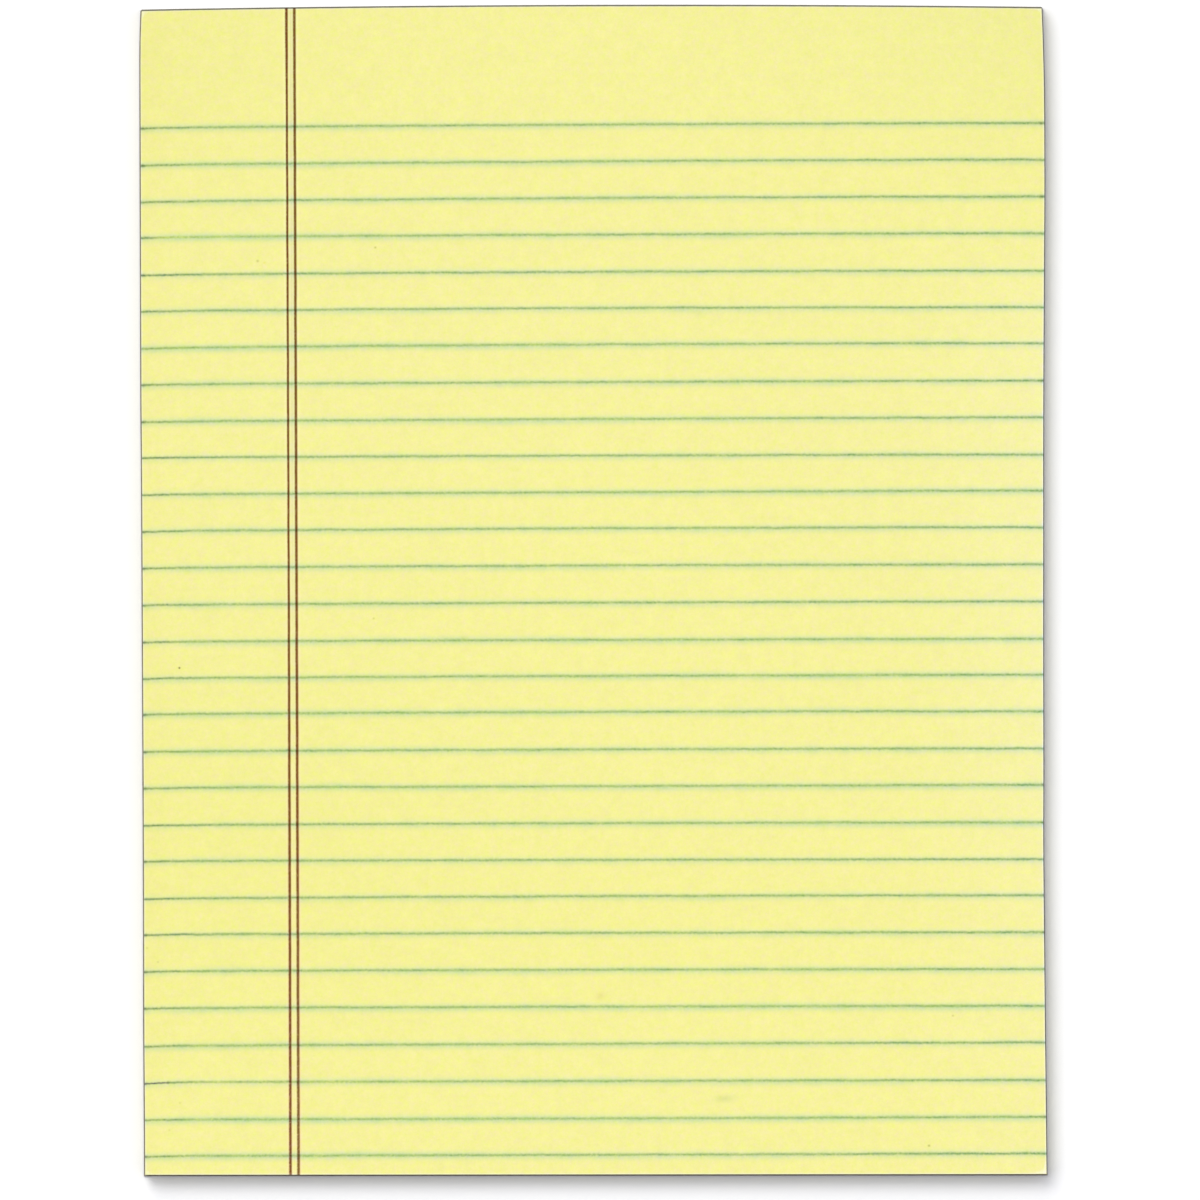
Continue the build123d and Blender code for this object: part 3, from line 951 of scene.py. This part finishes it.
def glue_material():
    """Thin, milky padding glue with the leaves' edges showing through, brush streaks along it, and a lip darkened by
    dust and by painted shade where it meets the leaves.
    """
    s = Shader("padding_glue")
    lip = s.attr("lip")
    brush = s.noise(s.vec(s.scaled(s.x, 0.035), 0.0, s.scaled(s.z, 2.6)), 1.0, 4.0, 0.65, 0.4)
    patch = s.noise(s.vec(s.scaled(s.x, 0.10), 0.0, s.scaled(s.z, 0.5, 7.0)), 1.0, 3.0, 0.6)
    milk = s.ramp(s.add(s.mul(brush, 0.6), s.mul(patch, 0.4)), 0.36, 0.64)
    step = (4.74 - BOARD_T) / (LEAVES - 1)
    number = s.math("FLOOR", s.scaled(s.z, 1 / step, -BOARD_T / step))
    across = s.math("ABSOLUTE", s.scaled(s.math("FRACT", s.scaled(s.z, 1 / step, -BOARD_T / step)), 1.0, -0.5))
    tone = s.white(s.scaled(number, 1.9, 0.3))
    leaves = s.mix(tone, (0.37, 0.35, 0.145), (0.45, 0.43, 0.19))
    leaves = s.tint(s.ramp(across, 0.34, 0.49), leaves, (0.66, 0.64, 0.56))
    under = s.mix(s.ramp(s.z, 0.58, 0.63), (0.19, 0.17, 0.13), leaves)
    colour = s.mix(s.mul(s.scaled(milk, 0.42, 0.36), 1.0), under, (0.50, 0.485, 0.40))
    # the lip is darkened by dust, and by painted shade where the film meets the leaves
    dust_and_shade = s.noise(s.vec(s.scaled(s.x, 0.55), 2.0, s.z), 1.0, 3.0, 0.65)
    colour = s.tint(s.mul(s.math("MINIMUM", lip, 1.0), s.ramp(dust_and_shade, 0.2, 0.6, 0.8, 1.0)), colour, (0.335, 0.335, 0.355))
    s.bump(s.add(s.mul(brush, 1.0), s.mul(across, 0.15)), 0.00006, 0.9)
    return s.finish(colour, s.ramp(milk, 0.0, 1.0, 0.48, 0.32, "LINEAR"), 0.35)


# --- camera ---------------------------------------------------------------------------------------
# Straight down from far off. The pad lies a sixth of a degree out of square in the picture.
SCALE = 4.2  # pixels of the 1200 frame to a millimetre
FRAME_MM = 1200 / SCALE
LENS = 600.0
cam_data = bpy.data.cameras.new("camera")
cam_data.lens = LENS
cam_data.sensor_width = 36.0
cam_data.sensor_fit = "HORIZONTAL"
cam_data.clip_start = 0.1
cam_data.clip_end = 60.0
cam = bpy.data.objects.new("camera", cam_data)
bpy.context.collection.objects.link(cam)
reach = FRAME_MM / 36.0 * LENS
cam.location = (1.505 * MM, -2.24 * MM, (TOP_Z + reach) * MM)
cam.rotation_euler = (0.0, 0.0, math.radians(-0.17))
bpy.context.scene.camera = cam

# --- floor and light ------------------------------------------------------------------------------
floor_mesh = bpy.data.meshes.new("floor")
floor_mesh.from_pydata([(-20, -20, 0), (20, -20, 0), (20, 20, 0), (-20, 20, 0)], [], [(0, 1, 2, 3)])
floor = bpy.data.objects.new("floor", floor_mesh)
bpy.context.collection.objects.link(floor)
floor_mat = bpy.data.materials.new("studio_floor")
floor_mat.use_nodes = True
floor_nodes = floor_mat.node_tree.nodes
floor_nodes.clear()
floor_out = floor_nodes.new("ShaderNodeOutputMaterial")
floor_bsdf = floor_nodes.new("ShaderNodeBsdfDiffuse")
floor_bsdf.inputs["Color"].default_value = (*[v / GAIN for v in FLOOR_LEVEL], 1.0)
floor_mat.node_tree.links.new(floor_bsdf.outputs[0], floor_out.inputs[0])
floor_mesh.materials.append(floor_mat)

world = bpy.data.worlds.new("studio")
bpy.context.scene.world = world
world.use_nodes = True
back = world.node_tree.nodes["Background"]
back.inputs["Color"].default_value = (*SKY_COLOUR, 1.0)
back.inputs["Strength"].default_value = SKY_SHARE * GAIN

for name, towards, width, tone, share, level in LAMPS:
    lamp_data = bpy.data.lights.new(name, "SUN")
    lamp_data.energy = math.pi * share * GAIN / level
    lamp_data.angle = math.radians(width)
    lamp_data.color = tone
    lamp = bpy.data.objects.new(name, lamp_data)
    bpy.context.collection.objects.link(lamp)
    lamp.rotation_euler = Vector(towards).normalized().to_track_quat("Z", "Y").to_euler()

scene = bpy.context.scene
scene.view_settings.view_transform = "Standard"
scene.view_settings.look = "None"
scene.view_settings.exposure = 0.0
scene.view_settings.gamma = 1.0

# --- the pieces -----------------------------------------------------------------------------------
top_leaf = make_top_leaf()
leaf_block = make_leaf_block()
board = make_chipboard()
film = make_glue_film()

top_leaf.data.materials.append(page_material())
leaf_block.data.materials.append(leaf_edges_material())
board.data.materials.append(chipboard_material())
film.data.materials.append(glue_material())

for piece in (top_leaf, leaf_block, board, film):
    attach(piece, "root")
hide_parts("sheet_block")
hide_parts("sheet_block")
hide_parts("backing_board")
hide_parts("glue_binding")
